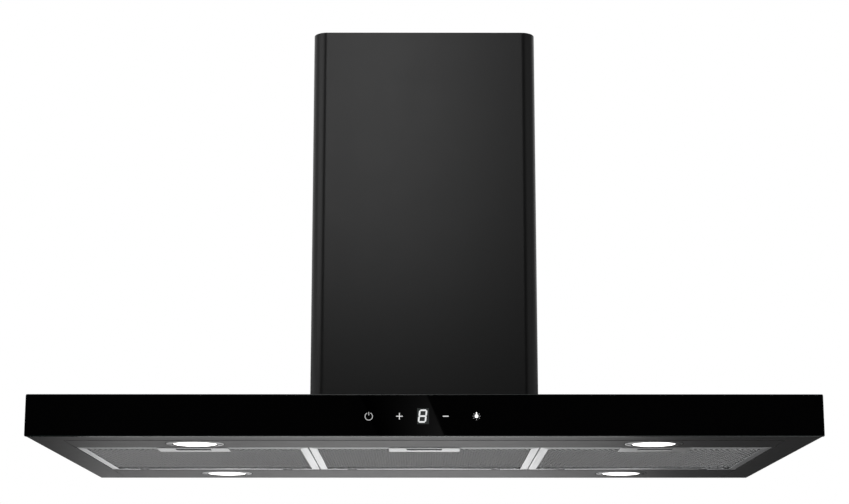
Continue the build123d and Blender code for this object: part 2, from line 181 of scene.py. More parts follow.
# satin black powder coat: even colour, faint orange peel, slight sheen changes;
# the pressed canopy is a little duller than the folded chimney
for name, gloss in (("black_paint", (0.30, 0.315)), ("black_paint_canopy", (0.445, 0.47))):
    m, nt, p = begin(name)
    vec = coords(nt)
    nt.links.new(
        ramp(
            nt,
            noise(nt, vec, 7.0, 4.0),
            [(0.3, (0.0112, 0.0113, 0.0115)), (0.7, (0.0128, 0.0129, 0.0132))],
        ),
        p.inputs["Base Color"],
    )
    nt.links.new(remap(nt, noise(nt, vec, 45.0, 4.0), *gloss), p.inputs["Roughness"])
    nt.links.new(
        bump(
            nt,
            noise(nt, vec, 1500.0, 1.0),
            0.05,
            0.00003,
            bump(nt, noise(nt, vec, 260.0, 2.0), 0.02, 0.0001),
        ),
        p.inputs["Normal"],
    )
    mats[name] = m

# black glass: polished face, faint wipe marks in the gloss
m, nt, p = begin("black_glass")
vec = coords(nt, (1.0, 1.0, 2.4))
nt.links.new(
    ramp(
        nt,
        noise(nt, vec, 5.0, 2.0),
        [(0.3, (0.0006, 0.0006, 0.0007)), (0.7, (0.0009, 0.0009, 0.0011))],
    ),
    p.inputs["Base Color"],
)
nt.links.new(
    remap(nt, noise(nt, vec, 22.0, 5.0, 0.6, 0.6), 0.008, 0.028), p.inputs["Roughness"]
)
p.inputs["IOR"].default_value = 1.5
mats["black_glass"] = m

# ground glass edge: satin, slightly green
m, nt, p = begin("glass_edge")
vec = coords(nt)
nt.links.new(
    ramp(
        nt,
        noise(nt, vec, 60.0, 3.0),
        [(0.3, (0.004, 0.008, 0.007)), (0.7, (0.007, 0.013, 0.011))],
    ),
    p.inputs["Base Color"],
)
nt.links.new(remap(nt, noise(nt, vec, 400.0, 3.0), 0.12, 0.22), p.inputs["Roughness"])
nt.links.new(bump(nt, noise(nt, vec, 2200.0, 1.0), 0.08, 0.00002), p.inputs["Normal"])
mats["glass_edge"] = m


def brushed(name, low, high, rough, axis, strength=0.10):
    """Fine lines that run along one axis."""
    m, nt, p = begin(name)
    across = [420.0, 420.0, 420.0]
    across["xyz".index(axis)] = 5.0
    lines = coords(nt, tuple(across))
    plain = coords(nt)
    grain = noise(nt, lines, 1.0, 5.0, 0.65)
    nt.links.new(
        ramp(nt, grain, [(0.25, low), (0.75, high)]), p.inputs["Base Color"]
    )
    nt.links.new(
        remap(nt, noise(nt, lines, 2.2, 4.0), rough[0], rough[1]),
        p.inputs["Roughness"],
    )
    nt.links.new(
        bump(
            nt,
            grain,
            strength,
            0.00004,
            bump(nt, noise(nt, plain, 35.0, 2.0), 0.03, 0.0003),
        ),
        p.inputs["Normal"],
    )
    p.inputs["Metallic"].default_value = 1.0
    return m


mats["alu_frame_y"] = brushed(
    "alu_frame_y", (0.80, 0.81, 0.82), (0.92, 0.925, 0.93), (0.30, 0.40), "y"
)
# front members: the same brushed aluminium as the side and rear members, with a darker base colour as painted
# shade where the front member faces away from the light
mats["alu_frame"] = brushed(
    "alu_frame_front_painted_shade", (0.66, 0.67, 0.68), (0.78, 0.785, 0.79), (0.46, 0.56), "x"
)
mats["alu_frame_rear"] = brushed(
    "alu_frame_rear", (0.82, 0.83, 0.84), (0.92, 0.925, 0.93), (0.36, 0.44), "x"
)
mats["latch_bright"] = brushed(
    "latch_bright", (0.76, 0.765, 0.77), (0.86, 0.86, 0.86), (0.34, 0.42), "x", 0.06
)

# expanded mesh strands: rolled foil with a dull, slightly oily sheen
m, nt, p = begin("alu_mesh")
vec = coords(nt)
p.inputs["Base Color"].default_value = (0.66, 0.66, 0.665, 1.0)
nt.links.new(remap(nt, noise(nt, vec, 210.0, 3.0), 0.62, 0.78), p.inputs["Roughness"])
nt.links.new(bump(nt, noise(nt, vec, 1700.0, 2.0), 0.2, 0.00004), p.inputs["Normal"])
p.inputs["Metallic"].default_value = 1.0
mats["alu_mesh"] = m

# galvanised sheet: crystal spangle
m, nt, p = begin("galvanised")
vec = coords(nt)
spangle = cells(nt, vec, 110.0, "F1", "Color")
bw = nt.nodes.new("ShaderNodeRGBToBW")
nt.links.new(spangle, bw.inputs["Color"])
nt.links.new(
    ramp(
        nt,
        bw.outputs["Val"],
        [(0.1, (0.55, 0.57, 0.59)), (0.5, (0.60, 0.62, 0.64)), (0.9, (0.66, 0.68, 0.70))],
    ),
    p.inputs["Base Color"],
)
nt.links.new(remap(nt, bw.outputs["Val"], 0.40, 0.50, 0.1, 0.9), p.inputs["Roughness"])
nt.links.new(bump(nt, noise(nt, vec, 700.0, 3.0), 0.08, 0.00005), p.inputs["Normal"])
p.inputs["Metallic"].default_value = 1.0
mats["galvanised"] = m

mats["zinc"] = surface(
    "zinc", (0.50, 0.51, 0.52), (0.66, 0.67, 0.67), (0.26, 0.42), 1.0, 90.0
)
mats["spring_steel"] = surface(
    "spring_steel", (0.42, 0.42, 0.43), (0.52, 0.52, 0.53), (0.22, 0.34), 1.0, 160.0
)
mats["satin_chrome"] = surface(
    "satin_chrome",
    (0.38, 0.383, 0.386),
    (0.48, 0.483, 0.486),
    (0.30, 0.38),
    1.0,
    120.0,
    strength=0.05,
)
mats["alu"] = surface(
    "alu_cast",
    (0.55, 0.55, 0.56),
    (0.70, 0.70, 0.71),
    (0.38, 0.52),
    1.0,
    70.0,
    fine=500.0,
    strength=0.3,
    depth=0.0001,
)
mats["motor_black"] = surface(
    "motor_black",
    (0.022, 0.022, 0.024),
    (0.038, 0.038, 0.041),
    (0.34, 0.5),
    0.0,
    60.0,
    fine=600.0,
    strength=0.3,
    depth=0.0001,
)
mats["rubber_black"] = surface(
    "rubber_black", (0.012, 0.012, 0.012), (0.022, 0.022, 0.021), (0.62, 0.8), 0.0, 120.0
)
# near-black, very rough finish with a low IOR for the lamp bores and notch floors: painted shade, darkening these
# recesses beyond what the light gives
mats["bore_painted_shade"] = surface(
    "bore_painted_shade",
    (0.005, 0.005, 0.005),
    (0.009, 0.009, 0.009),
    (0.7, 0.85),
    0.0,
    300.0,
    ior=1.2,
)
mats["foam_tape"] = surface(
    "foam_tape",
    (0.010, 0.010, 0.010),
    (0.03, 0.03, 0.03),
    (0.8, 0.95),
    0.0,
    700.0,
    fine=1200.0,
    strength=0.6,
    depth=0.0002,
)
mats["black_plastic"] = surface(
    "black_plastic",
    (0.016, 0.016, 0.017),
    (0.026, 0.026, 0.027),
    (0.40, 0.55),
    0.0,
    35.0,
    fine=1400.0,
    strength=0.35,
    depth=0.00006,
)
mats["grey_plastic"] = surface(
    "grey_plastic",
    (0.20, 0.20, 0.205),
    (0.26, 0.26, 0.265),
    (0.36, 0.5),
    0.0,
    80.0,
    fine=1400.0,
    strength=0.3,
    depth=0.00005,
)
mats["fan_plastic"] = surface(
    "fan_plastic",
    (0.035, 0.035, 0.038),
    (0.075, 0.075, 0.080),
    (0.42, 0.56),
    0.0,
    260.0,
    (1.0, 3.0, 3.0),
    fine=1500.0,
    strength=0.25,
)
mats["flap_plastic"] = surface(
    "flap_plastic",
    (0.030, 0.030, 0.033),
    (0.050, 0.050, 0.053),
    (0.38, 0.52),
    0.0,
    50.0,
    fine=1300.0,
    strength=0.3,
)
mats["cap_grey"] = surface(
    "cap_grey", (0.34, 0.35, 0.36), (0.44, 0.45, 0.46), (0.25, 0.38), 0.0, 50.0
)
mats["lead_pvc"] = surface(
    "lead_pvc",
    (0.46, 0.46, 0.44),
    (0.60, 0.60, 0.57),
    (0.40, 0.52),
    0.0,
    120.0,
    fine=500.0,
    strength=0.15,
)

# circuit boards: solder mask over a lattice of tracks
for name, base, track in (
    ("green_board", (0.008, 0.085, 0.036), (0.016, 0.15, 0.065)),
    ("white_board", (0.72, 0.72, 0.70), (0.82, 0.82, 0.80)),
):
    m, nt, p = begin(name)
    vec = coords(nt, (1.0, 1.0, 1.0))
    brick = nt.nodes.new("ShaderNodeTexBrick")
    brick.inputs["Color1"].default_value = (*base, 1.0)
    brick.inputs["Color2"].default_value = (*[0.5 * (a + b) for a, b in zip(base, track)], 1.0)
    brick.inputs["Mortar"].default_value = (*track, 1.0)
    brick.inputs["Scale"].default_value = 90.0
    brick.inputs["Mortar Size"].default_value = 0.03
    nt.links.new(vec, brick.inputs["Vector"])
    nt.links.new(brick.outputs["Color"], p.inputs["Base Color"])
    nt.links.new(remap(nt, noise(nt, vec, 300.0), 0.25, 0.4), p.inputs["Roughness"])
    nt.links.new(bump(nt, brick.outputs["Fac"], 0.2, 0.00004), p.inputs["Normal"])
    mats[name] = m

mats["display_black"] = surface(
    "display_black",
    (0.008, 0.009, 0.009),
    (0.014, 0.015, 0.015),
    (0.12, 0.2),
    0.0,
    60.0,
    strength=0.05,
)


def lit(name, colour, strength, low=0.75, high=0.9, rough=(0.4, 0.55), scale=260.0):
    """A lit, frosted or printed surface."""
    m, nt, p = begin(name)
    vec = coords(nt)
    nt.links.new(
        ramp(nt, noise(nt, vec, scale, 3.0), [(0.3, grey(low)), (0.7, grey(high))]),
        p.inputs["Base Color"],
    )
    nt.links.new(remap(nt, noise(nt, vec, scale * 2), *rough), p.inputs["Roughness"])
    p.inputs["Emission Color"].default_value = (*colour, 1.0)
    p.inputs["Emission Strength"].default_value = strength
    return m


mats["lamp_diffuser"] = lit("lamp_diffuser", (1.0, 0.99, 0.97), 2.6)
mats["mark_dim"] = lit("mark_dim", (1.0, 1.0, 1.0), 0.34, 0.35, 0.45)
mats["mark_mid"] = lit("mark_mid", (1.0, 1.0, 1.0), 0.58, 0.5, 0.6)
mats["mark_white"] = lit("mark_white", (1.0, 1.0, 1.0), 1.25, 0.8, 0.9)
mats["digit_white"] = lit("digit_white", (0.97, 1.0, 1.0), 0.66, 0.5, 0.6)
mats["digit_window"] = lit("digit_window", (0.55, 0.68, 0.66), 0.022, 0.02, 0.028)


# ---------------------------------------------------------------------------
# mesh helpers (input in millimetres)
# ---------------------------------------------------------------------------
def piece(name, verts, faces, materials, index=None, body="hood", slot=None, flat=False):
    me = bpy.data.meshes.new(name)
    me.from_pydata([(x * MM, y * MM, z * MM) for x, y, z in verts], [], faces)
    for mt in materials:
        me.materials.append(mt)
    if index is not None:
        me.polygons.foreach_set("material_index", index)
    if not flat:
        me.polygons.foreach_set("use_smooth", [True] * len(me.polygons))
    me.update()
    o = bpy.data.objects.new(name, me)
    scene.collection.objects.link(o)
    if body:
        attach(o, body)
    return o


def sharpen(o, angle=32.0, width=0.0, segments=2):
    """Rounded edges on hard corners, with even shading on the flats."""
    if width:
        b = o.modifiers.new("edges", "BEVEL")
        b.width = width * MM
        b.segments = segments
        b.limit_method = "ANGLE"
        b.angle_limit = math.radians(angle)
        b.use_clamp_overlap = True
        b.harden_normals = False
    w = o.modifiers.new("normals", "WEIGHTED_NORMAL")
    w.mode = "FACE_AREA"
    w.weight = 60
    w.keep_sharp = False
    return o


class Build:
    """Collects faces of several simple solids for one piece."""

    def __init__(self):
        self.v, self.f, self.m = [], [], []

    def add(self, verts, faces, mat=0):
        n = len(self.v)
        self.v.extend(verts)
        self.f.extend([tuple(i + n for i in f) for f in faces])
        self.m.extend([mat] * len(faces))

    def box(self, x0, x1, y0, y1, z0, z1, mat=0):
        v = [
            (x0, y0, z0), (x1, y0, z0), (x1, y1, z0), (x0, y1, z0),
            (x0, y0, z1), (x1, y0, z1), (x1, y1, z1), (x0, y1, z1),
        ]
        self.add(
            v,
            [(0, 3, 2, 1), (4, 5, 6, 7), (0, 1, 5, 4), (1, 2, 6, 5), (2, 3, 7, 6), (3, 0, 4, 7)],
            mat,
        )

    def loft(self, rings, mat=0, closed_ends=True):
        """Rings of equal length, joined in order; the first and last are capped."""
        n = len(rings[0])
        verts = [p for r in rings for p in r]
        faces = []
        for k in range(len(rings) - 1):
            for i in range(n):
                j = (i + 1) % n
                faces.append((k * n + i, k * n + j, (k + 1) * n + j, (k + 1) * n + i))
        if closed_ends:
            faces.append(tuple(reversed(range(n))))
            faces.append(tuple((len(rings) - 1) * n + i for i in range(n)))
        self.add(verts, faces, mat)

    def spin(self, profile, x, y, n=96, mat=0):
        """Closed (r, z) profile turned about a vertical axis."""
        k = len(profile)
        verts = []
        for a in range(n):
            t = 2 * math.pi * a / n
            c, s = math.cos(t), math.sin(t)
            verts.extend((x + r * c, y + r * s, z) for r, z in profile)
        faces = []
        for a in range(n):
            b = (a + 1) % n
            for i in range(k):
                j = (i + 1) % k
                faces.append((a * k + i, b * k + i, b * k + j, a * k + j))
        self.add(verts, faces, mat)

    def make(self, name, materials, **kw):
        return piece(name, self.v, self.f, materials, self.m, **kw)


def arc(cx, cy, r, a0, a1, n):
    return [
        (
            cx + r * math.cos(math.radians(a0 + (a1 - a0) * i / n)),
            cy + r * math.sin(math.radians(a0 + (a1 - a0) * i / n)),
        )
        for i in range(n + 1)
    ]


def tidy(o):
    """Makes every face of a closed mesh look outwards."""
    import bmesh

    bm = bmesh.new()
    bm.from_mesh(o.data)
    bmesh.ops.recalc_face_normals(bm, faces=bm.faces)
    bm.to_mesh(o.data)
    bm.free()
    return o


# ---------------------------------------------------------------------------
# CAD nodes that keep their shape: finish and rounded edges
# ---------------------------------------------------------------------------
record_slot = {s["node"]: s["material_slot"] for s in frame["record"]["subparts"]}
EDGE = {
    "canopy_shell": 0.35, "front_lamp_panel": 0.3, "rear_lamp_panel": 0.3,
    "chimney_lower": 0.3, "chimney_upper": 0.25, "blower_box": 0.3,
    "control_box": 0.5, "control_lid": 0.5, "touch_housing": 0.6,
    "outlet_collar": 0.4, "cable_gland": 0.4, "motor": 0.8, "motor_bracket": 0.3,
    "chimney_bracket": 0.25, "scroll_left": 0.4, "scroll_right": 0.4,
    "impeller": 0.2, "flap_front": 0.25, "flap_rear": 0.25, "filter_hooks": 0.25,
    "lamp_housings": 0.5, "capacitor": 0.8, "display_module": 0.3,
    "panel_rivets": 0.35, "blower_screws": 0.4, "chimney_screws": 0.4,
    "bracket_screws": 0.3, "latch_slider_left": 0.3, "latch_slider_centre": 0.3,
    "latch_slider_right": 0.3, "main_board": 0.15, "touch_board": 0.15,
    "lamp_boards": 0.15, "motor_bushes": 0.4, "lamp_clips": 0.15,
}
for name, o in nodes.items():
    slot = record_slot[name]
    use = "grey_plastic" if name.startswith("latch_slider") else slot
    if name in ("canopy_shell", "front_lamp_panel", "rear_lamp_panel"):
        use = "black_paint_canopy"
    if not o.material_slots:
        o.data.materials.append(mats[use])
    for s in o.material_slots:
        s.material = mats[use]
    if name in EDGE:
        w = o.modifiers.new("join", "WELD")
        w.merge_threshold = 1e-6
        sharpen(o, 32.0, EDGE[name], 2)

# ---------------------------------------------------------------------------
# glass fascia with ground edges, and the marks on it
# ---------------------------------------------------------------------------
FACE_Y = -499.95


def fascia_ring(y, inset, r=1.6, n=5):
    hx, z0, z1 = 450.0 - inset, -1.0 + inset, 47.0 - inset
    r = max(r - inset, 0.25)
    pts = (
        arc(hx - r, z1 - r, r, 0, 90, n)
        + arc(-hx + r, z1 - r, r, 90, 180, n)
        + arc(-hx + r, z0 + r, r, 180, 270, n)
        + arc(hx - r, z0 + r, r, 270, 360, n)
    )
    return [(x, y, z) for x, z in pts]


g = Build()
rings = [
    fascia_ring(-496.0, 0.5),
    fascia_ring(-496.5, 0.0),
    fascia_ring(-499.05, 0.0),
    fascia_ring(-499.7, 0.35),
    fascia_ring(FACE_Y, 1.0),
]
g.loft(rings)
n_ring = len(rings[0])
g.m = [1] * len(g.f)
g.m[-1] = 0
g.m[-2] = 0
glass = g.make("fascia_glass_panel", [mats["black_glass"], mats["glass_edge"]], slot="black_glass")
tidy(glass)
glass.data.polygons.foreach_set("use_smooth", [False] * len(glass.data.polygons))
sharpen(glass)
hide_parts("fascia_glass")

T0, T1 = FACE_Y - 0.0, -500.0


def plate(b, outline, holes=(), mat=0, y0=T0 + 0.01, y1=T1):
    """A thin raised mark from an outline in the XZ plane."""
    n = len(outline)
    b.loft([[(x, y0, z) for x, z in outline], [(x, y1, z) for x, z in outline]], mat)


def band(b, pts, w, mat=0, y0=T0 + 0.01, y1=T1, closed=False):
    """A constant-width stroke along a line of points in the XZ plane, as quads."""
    n = len(pts)
    inner, outer = [], []
    for i in range(n):
        a = pts[(i - 1) % n] if closed or i > 0 else pts[i]
        c = pts[(i + 1) % n] if closed or i < n - 1 else pts[i]
        dx, dz = c[0] - a[0], c[1] - a[1]
        d = math.hypot(dx, dz) or 1.0
        nx, nz = -dz / d * w / 2, dx / d * w / 2
        inner.append((pts[i][0] + nx, pts[i][1] + nz))
        outer.append((pts[i][0] - nx, pts[i][1] - nz))
    last = n if closed else n - 1
    for i in range(last):
        j = (i + 1) % n
        quad = [inner[i], inner[j], outer[j], outer[i]]
        b.loft([[(x, y0, z) for x, z in quad], [(x, y1, z) for x, z in quad]], mat)


ICON_Z = 21.85
# power ring and bar
b = Build()
band(b, arc(-62.8, ICON_Z - 0.2, 4.2, 116, 424, 40), 0.85)
band(b, [(-62.8, ICON_Z + 4.75), (-62.8, ICON_Z + 1.0)], 0.85)
tidy(b.make("mark_power", [mats["mark_dim"]], flat=True))
# plus and minus
b = Build()
b.box(-28.3 - 3.7, -28.3 + 3.7, T1, T0 + 0.01, ICON_Z - 0.47, ICON_Z + 0.47)
b.box(-28.3 - 0.47, -28.3 + 0.47, T1, T0 + 0.01, ICON_Z + 0.47, ICON_Z + 3.7)
b.box(-28.3 - 0.47, -28.3 + 0.47, T1, T0 + 0.01, ICON_Z - 3.7, ICON_Z - 0.47)
tidy(b.make("mark_plus", [mats["mark_mid"]], flat=True))
b = Build()
b.box(23.85 - 3.25, 23.85 + 3.25, T1, T0 + 0.01, ICON_Z - 0.56, ICON_Z + 0.56)
tidy(b.make("mark_minus", [mats["mark_mid"]], flat=True))
# lamp mark: a filled bulb with short rays
b = Build()
bx, bz = 58.5, ICON_Z + 0.1
outline = arc(bx, bz, 2.0, -250, 70, 26) + [
    (bx + 0.62, bz + 2.2), (bx + 0.62, bz + 4.3), (bx - 0.62, bz + 4.3), (bx - 0.62, bz + 2.2)
]
plate(b, outline)
for a in (-90, -37, -143, 0, 180, 41, 139):
    t = math.radians(a)
    c, s = math.cos(t), math.sin(t)
    band(b, [(bx + 3.0 * c, bz + 3.0 * s), (bx + 4.4 * c, bz + 4.4 * s)], 0.42, 1)
tidy(b.make("mark_lamp", [mats["mark_white"], mats["mark_dim"]], flat=True))

# display window and slanted seven segment digit
b = Build()
plate(b, [(-8.3, 13.0), (4.9, 13.0), (4.9, 30.9), (-8.3, 30.9)], y0=T0 + 0.01, y1=T1 + 0.03)
tidy(b.make("display_window", [mats["digit_window"]], flat=True))
b = Build()
DX, DZ, DW, DH, SLANT = -2.2, 22.0, 7.6, 13.2, 0.12


def seg(b, x0, z0, x1, z1, w=1.8):
    """One bar with pointed ends."""
    dx, dz = x1 - x0, z1 - z0
    d = math.hypot(dx, dz)
    ux, uz = dx / d, dz / d
    nx, nz = -uz * w / 2, ux * w / 2
    k = w / 2
    pts = [
        (x0 + ux * 0.12, z0 + uz * 0.12),
        (x0 + ux * k + nx, z0 + uz * k + nz),
        (x1 - ux * k + nx, z1 - uz * k + nz),
        (x1 - ux * 0.12, z1 - uz * 0.12),
        (x1 - ux * k - nx, z1 - uz * k - nz),
        (x0 + ux * k - nx, z0 + uz * k - nz),
    ]
    pts = [(x + SLANT * (z - DZ), z) for x, z in pts]
    plate(b, pts, y0=T0 + 0.01, y1=T1)


for x0, z0, x1, z1 in (
    (-0.5, 1.0, 0.5, 1.0), (-0.5, 0.0, 0.5, 0.0), (-0.5, -1.0, 0.5, -1.0),
    (-0.5, 0.0, -0.5, 1.0), (0.5, 0.0, 0.5, 1.0),
    (-0.5, -1.0, -0.5, 0.0), (0.5, -1.0, 0.5, 0.0),
):
    seg(b, DX + x0 * DW, DZ + z0 * DH / 2, DX + x1 * DW, DZ + z1 * DH / 2)
tidy(b.make("display_digit", [mats["digit_white"]], flat=True))

# ---------------------------------------------------------------------------
# filter cassettes: folded aluminium frames and layers of expanded mesh
# ---------------------------------------------------------------------------
R_OUT, R_IN = 1.2, 0.45


def channel(w, lip=R_IN):
    """Closed (u, z) outline of the folded channel; u runs inwards from the outer edge."""
    pts = arc(R_OUT, R_OUT, R_OUT, 180, 270, 4)
    pts += arc(w - lip, lip, lip, 270, 360, 3)
    pts += [(w, 0.8), (w - 0.2, 1.0), (1.0, 1.0), (1.0, 7.0), (w - 0.2, 7.0), (w, 7.2)]
    pts += arc(w - R_IN, 8 - R_IN, R_IN, 0, 90, 3)
    pts += arc(R_OUT, 8 - R_OUT, R_OUT, 90, 180, 4)
    return pts


def rear_outline(notched):
    if notched:
        pts = [(8.2, 0.0)]
    else:
        pts = arc(4.0, 4.0, 4.0, 90, 270, 14)
    w = W_REAR
    pts += arc(w - R_IN, R_IN, R_IN, 270, 360, 3)
    pts += [(w, 0.8), (w - 0.2, 1.0), (9.0, 1.0), (9.0, 7.0), (w - 0.2, 7.0), (w, 7.2)]
    pts += arc(w - R_IN, 8 - R_IN, R_IN, 0, 90, 3)
    if notched:
        pts += [(8.2, 8.0)]
    return pts


def filter_frame(side, k):
    xc = k * PITCH
    b = Build()
    gap = 0.05
    # side members, mitred at the front and butted at the rear
    prof = channel(W_SIDE, 0.12)
    for s in (-1, 1):
        r0 = [(xc + s * (HALF_W - u), F_FRONT + u * W_FRONT / W_SIDE + gap, z) for u, z in prof]
        r1 = [(xc + s * (HALF_W - u), F_REAR - W_REAR - gap, z) for u, z in prof]
        b.loft([r0, r1], 0)
    # front member in two lengths, either side of the latch, in the darker aluminium copy that carries painted
    # shade
    prof = channel(W_FRONT)
    for s in (-1, 1):
        r0 = [
            (xc + s * (HALF_W - u * W_SIDE / W_FRONT - gap), F_FRONT + u, z) for u, z in prof
        ]
        r1 = [(xc + s * 38.6, F_FRONT + u, z) for u, z in prof]
        b.loft([r0, r1], 1)
    # wall in front of the latch, with the slot for its tongue, in the same darker aluminium copy with painted
    # shade
    for x0, x1, z0, z1 in (
        (-38.6, -9.0, 0.0, 8.0), (9.0, 38.6, 0.0, 8.0), (-9.0, 9.0, 0.0, 2.8), (-9.0, 9.0, 5.4, 8.0),
    ):
        b.box(xc + x0, xc + x1, F_FRONT, F_FRONT + 1.2, z0, z1, 1)
    # rear member: rolled edge, cut back at the two hooks, where the pins show
    cuts = [-HALF_W, -HOOK_DX - 6, -HOOK_DX + 6, HOOK_DX - 6, HOOK_DX + 6, HALF_W]
    for i in range(5):
        prof = rear_outline(i in (1, 3))
        b.loft(
            [
                [(xc + cuts[i], F_REAR - u, z) for u, z in prof],
                [(xc + cuts[i + 1], F_REAR - u, z) for u, z in prof],
            ],
            3,
        )
    for s in (-1, 1):
        ring = arc(0, 0, 1.5, 0, 360, 20)[:-1]
        b.loft(
            [
                [(xc + s * HOOK_DX - 6.4, PIVOT_Y + y, 4.0 + z) for y, z in ring],
                [(xc + s * HOOK_DX + 6.4, PIVOT_Y + y, 4.0 + z) for y, z in ring],
            ],
            2,
        )
    o = b.make(
        f"filter_frame_alu_{side}",
        [mats["alu_frame_y"], mats["alu_frame"], mats["spring_steel"], mats["alu_frame_rear"]],
        body=f"filter_{side}",
        slot="alu_frame",
    )
    tidy(o)
    sharpen(o)
    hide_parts(f"filter_frame_{side}")
    return o


def pillow(xc, rise):
    """Extra height near the borders of a mesh sheet, where it is tucked into the frame."""

    def lift(x, y):
        edge = min((y + 352.2) / 14.0, (-121.5 - y) / 12.0, 1.0)
        t = max(0.0, 1.0 - max(edge, 0.0))
        return rise * t * t * (3 - 2 * t)

    return lift


def expanded(b, x0, x1, y0, y1, zc, long_way, short_way, w, t, tilt, along_x, skip, lift):
    """Diamond mesh: zigzag strands that meet at the knuckles, each leaning by tilt."""
    if not along_x:
        x0, x1, y0, y1 = y0, y1, x0, x1
    step = long_way / 2
    nseg = int((x1 - x0) / step)
    rows = int((y1 - y0) / (short_way / 2)) - 1
    ox = x0 + ((x1 - x0) - nseg * step) / 2
    oy = y0 + short_way / 4 + ((y1 - y0) - rows * short_way / 2) / 2
    c, s = math.cos(math.radians(tilt)), math.sin(math.radians(tilt))
    corner = [(-w / 2, -t / 2), (w / 2, -t / 2), (w / 2, t / 2), (-w / 2, t / 2)]
    corner = [(a * c - d * s, a * s + d * c) for a, d in corner]
    verts, faces = [], []
    for j in range(rows + 1):
        yc = oy + j * short_way / 2
        run = []
        for i in range(nseg + 1):
            x = ox + i * step
            y = yc + (short_way / 4 - 0.18 * w) * (1 if (i + j) % 2 else -1)
            px, py = (x, y) if along_x else (y, x)
            if skip(px, py):
                run.append(None)
                continue
            z = zc + lift(px, py)
            run.append(len(verts))
            for a, d in corner:
                verts.append((px, py + a, z + d) if along_x else (px + a, py, z + d))
        for i in range(nseg):
            p, q = run[i], run[i + 1]
            if p is None or q is None:
                continue
            for e in range(4):
                f = (e + 1) % 4
                faces.append((p + e, p + f, q + f, q + e))
        ends = [i for i in range(nseg + 1) if run[i] is not None]
        for i in ends:
            if i == 0 or run[i - 1] is None:
                faces.append(tuple(run[i] + e for e in (3, 2, 1, 0)))
            if i == nseg or run[i + 1] is None:
                faces.append(tuple(run[i] + e for e in (0, 1, 2, 3)))
    b.add(verts, faces)


for side, k in SIDES:
    xc = k * PITCH
    filter_frame(side, k)

    def notch(x, y, xc=xc):
        return abs(x - xc) < 39.8 and y < -337.5

    b = Build()
    expanded(b, xc - 131, xc + 131, -366, -122.4, 1.34, 15.0, 6.4, 1.7, 0.42, 10, False, notch, pillow(xc, 2.2))
    expanded(b, xc - 131, xc + 131, -366, -122.4, 3.7, 8.0, 4.4, 1.3, 0.42, 12, True, notch, pillow(xc, 1.4))
    o = b.make(f"filter_mesh_lower_{side}", [mats["alu_mesh"]], body=f"filter_{side}", slot="alu_mesh", flat=True)
    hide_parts(f"filter_mesh_{side}")
    b = Build()
    expanded(b, xc - 131, xc + 131, -366, -122.4, 6.66, 8.0, 4.8, 1.0, 0.42, -14, True, notch, pillow(xc, 0.0))
    o = b.make(f"filter_mesh_upper_{side}", [mats["alu_mesh"]], body=f"filter_{side}", slot="alu_mesh", flat=True)

# ---------------------------------------------------------------------------
# latches: pressed bright plate over a folded box
# ---------------------------------------------------------------------------
for side, k in SIDES:
    o = nodes[f"latch_housing_{side}"]
    w = o.modifiers.new("join", "WELD")
    w.merge_threshold = 1e-6
    sharpen(o, 32.0, 0.36, 3)

# latch springs: five turns of wire between the slider and the housing's rear wall
for side, k in SIDES:
    xc = k * PITCH
    b = Build()
    turns, steps, r_coil, r_wire, y0, y1 = 5, 28, 1.7, 0.25, -349.55, -341.4
    pitch = (y1 - y0) / turns
    lean = math.atan2(pitch, 2 * math.pi * r_coil)
    rings = []
    for i in range(turns * steps + 1):
        t = 2 * math.pi * i / steps
        out = Vector((math.cos(t), 0.0, math.sin(t)))
        along = Vector((-math.sin(t) * math.cos(lean), math.sin(lean), math.cos(t) * math.cos(lean)))
        side_way = along.cross(out)
        centre = Vector((xc, y0 + pitch * i / steps, 3.9)) + out * r_coil
        ring = []
        for q in range(8):
            a = 2 * math.pi * q / 8
            p = centre + (out * math.cos(a) + side_way * math.sin(a)) * r_wire
            ring.append((p.x, p.y, p.z))
        rings.append(ring)
    b.loft(rings)
    o = b.make(f"spring_{side}", [mats["spring_steel"]], body=f"filter_{side}", slot="spring_steel")
    tidy(o)
    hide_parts(f"latch_spring_{side}")
    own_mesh(o)

# ---------------------------------------------------------------------------
# lamps: turned bezels whose conical bore and notch floors carry painted shade, frosted lenses set back in them,
# a thin black seal under each rim that also stands in for the shadow gap there as painted shade, and two tool
# notches in each bezel
# ---------------------------------------------------------------------------
def turned(b, x, y, profile, mats_of, angles, notch_at=()):
    """Closed (r, z) profile turned through the given angles; a notch lowers some of its points."""
    k = len(profile)
    n = len(angles)
    verts = []
    for a in angles:
        t = math.radians(a)
        inside = any(abs((a - c + 180) % 360 - 180) < 5.01 for c in notch_at)
        for i, (r, z) in enumerate(profile):
            zz = NOTCH_FLOOR.get(i, z) if inside else z
            verts.append((x + r * math.cos(t), y + r * math.sin(t), zz))
    faces, mat = [], []
    for a in range(n):
        c = (a + 1) % n
        mid = (angles[a] + ((angles[c] - angles[a]) % 360) / 2) % 360
        cut = any(abs((mid - q + 180) % 360 - 180) < 5.2 for q in notch_at)
        for i in range(k):
            j = (i + 1) % k
            faces.append((a * k + i, c * k + i, c * k + j, a * k + j))
            # faces inside a notch take material 1, the bore's painted-shade finish
            mat.append(1 if cut and 1 <= i <= 5 else mats_of[i])
    base = len(b.v)
    b.v.extend(verts)
    b.f.extend([tuple(q + base for q in f) for f in faces])
    b.m.extend(mat)


